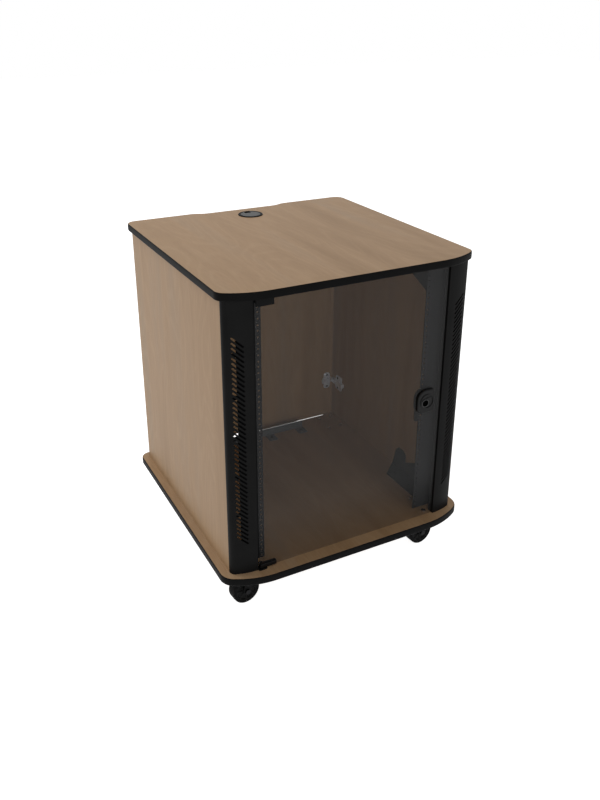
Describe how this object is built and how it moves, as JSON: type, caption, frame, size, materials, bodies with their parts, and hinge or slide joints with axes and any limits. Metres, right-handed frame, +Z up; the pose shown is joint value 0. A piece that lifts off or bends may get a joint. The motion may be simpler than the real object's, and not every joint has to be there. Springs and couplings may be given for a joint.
{
  "type": "audio visual cart",
  "caption": "Rack cabinet on swivel casters in wood laminate, with a smoked glass front door, curved vented front pillars, an inset rear door and a cable grommet in the top.",
  "frame": {"origin": "on the floor, under the middle of the base panel", "axes": "+X to the right seen from the front, +Y from the front to the rear, +Z up"},
  "size_m": [0.704, 0.701, 0.8542],
  "materials": {
    "laminate": "satin wood-grain laminate",
    "edge_moulding": "satin",
    "door_edging": "satin",
    "black_steel": "satin powder coat",
    "chrome": "polished",
    "zinc_steel": "zinc plated",
    "smoked_glass": "smoked, polished",
    "caster_rubber": "matte",
    "grommet_plastic": "satin",
    "cap_plastic": "satin"
  },
  "bodies": {
    "cabinet": {"base_panel": "laminate", "base_edge_band": "edge_moulding", "top_panel": "laminate", "top_edge_band": "edge_moulding", "left_side_panel": "laminate", "right_side_panel": "laminate", "left_front_pillar": "black_steel", "right_front_pillar": "black_steel", "left_rack_rail": "black_steel", "right_rack_rail": "black_steel", "left_lower_rail_bracket": "black_steel", "right_lower_rail_bracket": "black_steel", "left_upper_rail_bracket": "black_steel", "right_upper_rail_bracket": "black_steel", "top_angles": "black_steel", "cable_bar": "black_steel", "base_screws": "zinc_steel", "frame_screws": "zinc_steel", "caster_bolts": "chrome", "caster_nuts": "zinc_steel", "lower_pivot_plate": "black_steel", "upper_pivot_plate": "black_steel", "lower_hinge_arm": "chrome", "upper_hinge_arm": "chrome", "rear_lock_strike": "zinc_steel", "grommet_sleeve": "grommet_plastic", "front_left_caster_plate": "zinc_steel", "front_right_caster_plate": "zinc_steel", "rear_left_caster_plate": "zinc_steel", "rear_right_caster_plate": "zinc_steel"},
    "front_door": {"front_door_glass": "smoked_glass", "lower_door_clamp": "black_steel", "upper_door_clamp": "black_steel", "door_lock_case": "black_steel", "door_lock_plate": "black_steel"},
    "front_door_lock": {"door_lock_barrel": "black_steel", "door_lock_cam": "black_steel"},
    "rear_door": {"rear_door_panel": "laminate", "rear_door_edge_band": "door_edging", "lower_hinge_cup": "chrome", "upper_hinge_cup": "chrome", "rear_lock_body": "chrome"},
    "rear_door_lock": {"rear_lock_barrel": "chrome", "rear_lock_cam": "zinc_steel"},
    "grommet_cap": {"grommet_cap": "cap_plastic"},
    "front_left_fork": {"front_left_caster_fork": "zinc_steel", "front_left_caster_axle": "zinc_steel"},
    "front_left_wheel": {"front_left_caster_wheel": "caster_rubber"},
    "front_right_fork": {"front_right_caster_fork": "zinc_steel", "front_right_caster_axle": "zinc_steel"},
    "front_right_wheel": {"front_right_caster_wheel": "caster_rubber"},
    "rear_left_fork": {"rear_left_caster_fork": "zinc_steel", "rear_left_caster_axle": "zinc_steel"},
    "rear_left_wheel": {"rear_left_caster_wheel": "caster_rubber"},
    "rear_right_fork": {"rear_right_caster_fork": "zinc_steel", "rear_right_caster_axle": "zinc_steel"},
    "rear_right_wheel": {"rear_right_caster_wheel": "caster_rubber"}
  },
  "joints": [
    {"name": "front_door_swing", "type": "hinge", "parent": "cabinet", "child": "front_door", "pos_m": [-0.25, -0.31436, 0.477], "axis": [0, 0, -1], "range_deg": [0, 130]},
    {"name": "front_lock_turn", "type": "hinge", "parent": "front_door", "child": "front_door_lock", "pos_m": [0.205, -0.31436, 0.4755], "axis": [0, -1, 0], "range_deg": [0, 90]},
    {"name": "rear_door_swing", "type": "hinge", "parent": "cabinet", "child": "rear_door", "pos_m": [0.30825, 0.331, 0.477], "axis": [0, 0, -1], "range_deg": [0, 105]},
    {"name": "rear_lock_turn", "type": "hinge", "parent": "rear_door", "child": "rear_door_lock", "pos_m": [-0.269, 0.32, 0.477], "axis": [0, 1, 0], "range_deg": [0, 90]},
    {"name": "grommet_cap_lift", "type": "slide", "parent": "cabinet", "child": "grommet_cap", "axis": [0, 0, 1], "range_m": [0, 0.04]},
    {"name": "front_left_swivel", "type": "hinge", "parent": "cabinet", "child": "front_left_fork", "pos_m": [-0.268, -0.265, 0.08], "axis": [0, 0, 1], "continuous": true},
    {"name": "front_left_roll", "type": "hinge", "parent": "front_left_fork", "child": "front_left_wheel", "pos_m": [-0.27993, -0.26625, 0.0375], "axis": [0.1045, -0.9945, 0], "continuous": true},
    {"name": "front_right_swivel", "type": "hinge", "parent": "cabinet", "child": "front_right_fork", "pos_m": [0.268, -0.265, 0.08], "axis": [0, 0, 1], "continuous": true},
    {"name": "front_right_roll", "type": "hinge", "parent": "front_right_fork", "child": "front_right_wheel", "pos_m": [0.25607, -0.26625, 0.0375], "axis": [0.1045, -0.9945, 0], "continuous": true},
    {"name": "rear_left_swivel", "type": "hinge", "parent": "cabinet", "child": "rear_left_fork", "pos_m": [-0.268, 0.257, 0.08], "axis": [0, 0, 1], "continuous": true},
    {"name": "rear_left_roll", "type": "hinge", "parent": "rear_left_fork", "child": "rear_left_wheel", "pos_m": [-0.27993, 0.25575, 0.0375], "axis": [0.1045, -0.9945, 0], "continuous": true},
    {"name": "rear_right_swivel", "type": "hinge", "parent": "cabinet", "child": "rear_right_fork", "pos_m": [0.268, 0.257, 0.08], "axis": [0, 0, 1], "continuous": true},
    {"name": "rear_right_roll", "type": "hinge", "parent": "rear_right_fork", "child": "rear_right_wheel", "pos_m": [0.25607, 0.25575, 0.0375], "axis": [0.1045, -0.9945, 0], "continuous": true}
  ]
}
